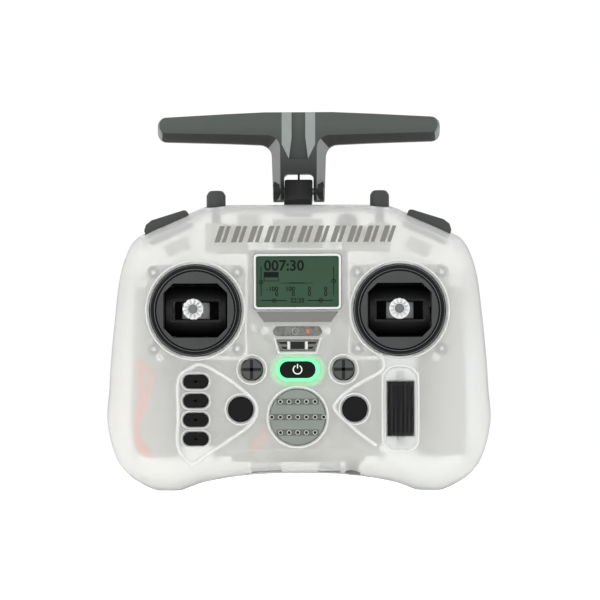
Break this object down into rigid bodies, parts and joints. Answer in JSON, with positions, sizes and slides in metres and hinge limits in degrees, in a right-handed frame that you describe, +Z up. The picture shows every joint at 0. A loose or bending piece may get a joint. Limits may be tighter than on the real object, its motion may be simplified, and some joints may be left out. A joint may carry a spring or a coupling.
{
  "type": "handheld radio transmitter",
  "caption": "Handheld radio transmitter with a frosted shell, sticks, display, roller, buttons and a folding T antenna.",
  "frame": {"origin": "middle of the bounding box at the bottom of the grips", "axes": "+Z up, -Y out of the face toward the user, +X to the right of a person who looks at the face"},
  "size_m": [0.1566, 0.0655, 0.1553],
  "materials": {
    "clear_shell": "frosted clear, satin",
    "dark_plastic": "fine moulded texture",
    "black_gloss": "polished",
    "black_matte": "matte",
    "key_rubber": "soft matte",
    "grey_plastic": "satin",
    "metal_bright": "machined",
    "metal_parts": "stamped",
    "display": "polished window",
    "display_body": "reflective panel",
    "light_ring": "light guide, glowing",
    "circuit_board": "solder mask",
    "cell_wrap": "heat-shrink sleeve",
    "cell_wrap_red": "heat-shrink sleeve"
  },
  "bodies": {
    "housing": {"front_shell": "clear_shell", "rear_shell": "clear_shell", "lcd_frame": "grey_plastic", "lcd_glass": "display", "lcd_module": "display_body", "status_window": "display", "lanyard_anchor": "black_gloss", "power_light_ring": "light_ring", "speaker_grille": "grey_plastic", "speaker": "black_matte", "main_board": "circuit_board", "board_switches": "circuit_board", "rf_module": "circuit_board", "module_pins": "black_matte", "module_cover": "clear_shell", "left_gimbal_ring": "black_gloss", "right_gimbal_ring": "black_gloss", "left_gimbal_frame": "dark_plastic", "right_gimbal_frame": "dark_plastic", "gimbal_sensors": "circuit_board", "left_cell": "cell_wrap_red", "right_cell": "cell_wrap", "battery_trays": "black_matte", "battery_contacts": "metal_parts", "top_switches": "dark_plastic", "usb_port": "metal_parts", "card_slot": "metal_parts", "audio_jack": "black_matte", "screws": "metal_parts", "hinge_block": "black_gloss"},
    "antenna": {"antenna": "dark_plastic", "antenna_cable": "black_matte", "hinge_pin": "metal_parts"},
    "left_drum": {"left_drum": "black_matte"},
    "left_stick": {"left_stick": "grey_plastic", "left_stick_end": "metal_bright"},
    "right_drum": {"right_drum": "black_matte"},
    "right_stick": {"right_stick": "grey_plastic", "right_stick_end": "metal_bright"},
    "page_button_1": {"page_button_1": "key_rubber"},
    "page_button_2": {"page_button_2": "key_rubber"},
    "page_button_3": {"page_button_3": "key_rubber"},
    "page_button_4": {"page_button_4": "key_rubber"},
    "left_round_button": {"left_round_button": "key_rubber"},
    "right_round_button": {"right_round_button": "key_rubber"},
    "power_button": {"power_button": "key_rubber"},
    "left_trim_pivot": {"left_trim_pivot": "metal_parts"},
    "left_trim": {"left_trim": "grey_plastic"},
    "right_trim_pivot": {"right_trim_pivot": "metal_parts"},
    "right_trim": {"right_trim": "grey_plastic"},
    "roller_carrier": {"roller_carrier": "clear_shell"},
    "roller": {"roller": "black_gloss"},
    "left_shoulder_button": {"left_shoulder_button": "dark_plastic"},
    "left_toggle": {"left_toggle": "key_rubber"},
    "right_shoulder_button": {"right_shoulder_button": "dark_plastic"},
    "right_toggle": {"right_toggle": "key_rubber"},
    "rear_button": {"rear_button": "key_rubber"},
    "rear_dial": {"rear_dial": "dark_plastic"},
    "left_battery_door": {"left_battery_door": "clear_shell"},
    "right_battery_door": {"right_battery_door": "clear_shell"}
  },
  "joints": [
    {"name": "antenna_fold", "type": "hinge", "parent": "housing", "child": "antenna", "pos_m": [0, 0.013, 0.1225], "axis": [-1, 0, 0], "range_deg": [0, 180]},
    {"name": "left_stick_vertical", "type": "hinge", "parent": "housing", "child": "left_drum", "pos_m": [-0.0414, 0, 0.073], "axis": [1, 0, 0], "range_deg": [-22, 22]},
    {"name": "left_stick_horizontal", "type": "hinge", "parent": "left_drum", "child": "left_stick", "pos_m": [-0.0414, 0, 0.073], "axis": [0, 0, 1], "range_deg": [-22, 22], "stiffness_Nm_per_rad": 0.02},
    {"name": "right_stick_vertical", "type": "hinge", "parent": "housing", "child": "right_drum", "pos_m": [0.0414, 0, 0.073], "axis": [1, 0, 0], "range_deg": [-22, 22], "stiffness_Nm_per_rad": 0.02},
    {"name": "right_stick_horizontal", "type": "hinge", "parent": "right_drum", "child": "right_stick", "pos_m": [0.0414, 0, 0.073], "axis": [0, 0, 1], "range_deg": [-22, 22], "stiffness_Nm_per_rad": 0.02},
    {"name": "page_button_1_press", "type": "slide", "parent": "housing", "child": "page_button_1", "axis": [0, 1, 0], "range_m": [0, 0.0005], "stiffness_N_per_m": 200},
    {"name": "page_button_2_press", "type": "slide", "parent": "housing", "child": "page_button_2", "axis": [0, 1, 0], "range_m": [0, 0.0005], "stiffness_N_per_m": 200},
    {"name": "page_button_3_press", "type": "slide", "parent": "housing", "child": "page_button_3", "axis": [0, 1, 0], "range_m": [0, 0.0005], "stiffness_N_per_m": 200},
    {"name": "page_button_4_press", "type": "slide", "parent": "housing", "child": "page_button_4", "axis": [0, 1, 0], "range_m": [0, 0.0005], "stiffness_N_per_m": 200},
    {"name": "left_round_button_press", "type": "slide", "parent": "housing", "child": "left_round_button", "axis": [0, 1, 0], "range_m": [0, 0.0005], "stiffness_N_per_m": 200},
    {"name": "right_round_button_press", "type": "slide", "parent": "housing", "child": "right_round_button", "axis": [0, 1, 0], "range_m": [0, 0.0005], "stiffness_N_per_m": 200},
    {"name": "power_button_press", "type": "slide", "parent": "housing", "child": "power_button", "axis": [0, 1, 0], "range_m": [0, 0.0005], "stiffness_N_per_m": 200},
    {"name": "left_trim_vertical", "type": "hinge", "parent": "housing", "child": "left_trim_pivot", "pos_m": [-0.0186, -0.0088, 0.049], "axis": [1, 0, 0], "range_deg": [-4, 4], "stiffness_Nm_per_rad": 0.01},
    {"name": "left_trim_horizontal", "type": "hinge", "parent": "left_trim_pivot", "child": "left_trim", "pos_m": [-0.0186, -0.0088, 0.049], "axis": [0, 0, 1], "range_deg": [-4, 4], "stiffness_Nm_per_rad": 0.01},
    {"name": "right_trim_vertical", "type": "hinge", "parent": "housing", "child": "right_trim_pivot", "pos_m": [0.0186, -0.0088, 0.049], "axis": [1, 0, 0], "range_deg": [-4, 4], "stiffness_Nm_per_rad": 0.01},
    {"name": "right_trim_horizontal", "type": "hinge", "parent": "right_trim_pivot", "child": "right_trim", "pos_m": [0.0186, -0.0088, 0.049], "axis": [0, 0, 1], "range_deg": [-4, 4], "stiffness_Nm_per_rad": 0.01},
    {"name": "roller_press", "type": "slide", "parent": "housing", "child": "roller_carrier", "axis": [0, 1, 0], "range_m": [0, 0.0006], "stiffness_N_per_m": 400},
    {"name": "roller_spin", "type": "hinge", "parent": "roller_carrier", "child": "roller", "pos_m": [0.0416, -0.011, 0.033], "axis": [0, 0, 1], "continuous": true},
    {"name": "left_shoulder_button_press", "type": "slide", "parent": "housing", "child": "left_shoulder_button", "axis": [0.4131, 0, -0.9107], "range_m": [0, 0.0018], "stiffness_N_per_m": 200},
    {"name": "left_toggle_tilt", "type": "hinge", "parent": "housing", "child": "left_toggle", "pos_m": [-0.0333, -0.0035, 0.105], "axis": [1, 0, 0], "range_deg": [-15, 15]},
    {"name": "right_shoulder_button_press", "type": "slide", "parent": "housing", "child": "right_shoulder_button", "axis": [-0.4131, 0, -0.9107], "range_m": [0, 0.0018], "stiffness_N_per_m": 200},
    {"name": "right_toggle_tilt", "type": "hinge", "parent": "housing", "child": "right_toggle", "pos_m": [0.0333, -0.0035, 0.105], "axis": [1, 0, 0], "range_deg": [-15, 15]},
    {"name": "rear_button_press", "type": "slide", "parent": "housing", "child": "rear_button", "axis": [0, -1, 0], "range_m": [0, 0.0008], "stiffness_N_per_m": 200},
    {"name": "rear_dial_turn", "type": "hinge", "parent": "housing", "child": "rear_dial", "pos_m": [-0.02, 0.008, 0.109], "axis": [0, 1, 0], "range_deg": [-140, 140]},
    {"name": "left_battery_door_slide", "type": "slide", "parent": "housing", "child": "left_battery_door", "axis": [-1, 0, 0], "range_m": [0, 0.012]},
    {"name": "right_battery_door_slide", "type": "slide", "parent": "housing", "child": "right_battery_door", "axis": [1, 0, 0], "range_m": [0, 0.012]}
  ]
}
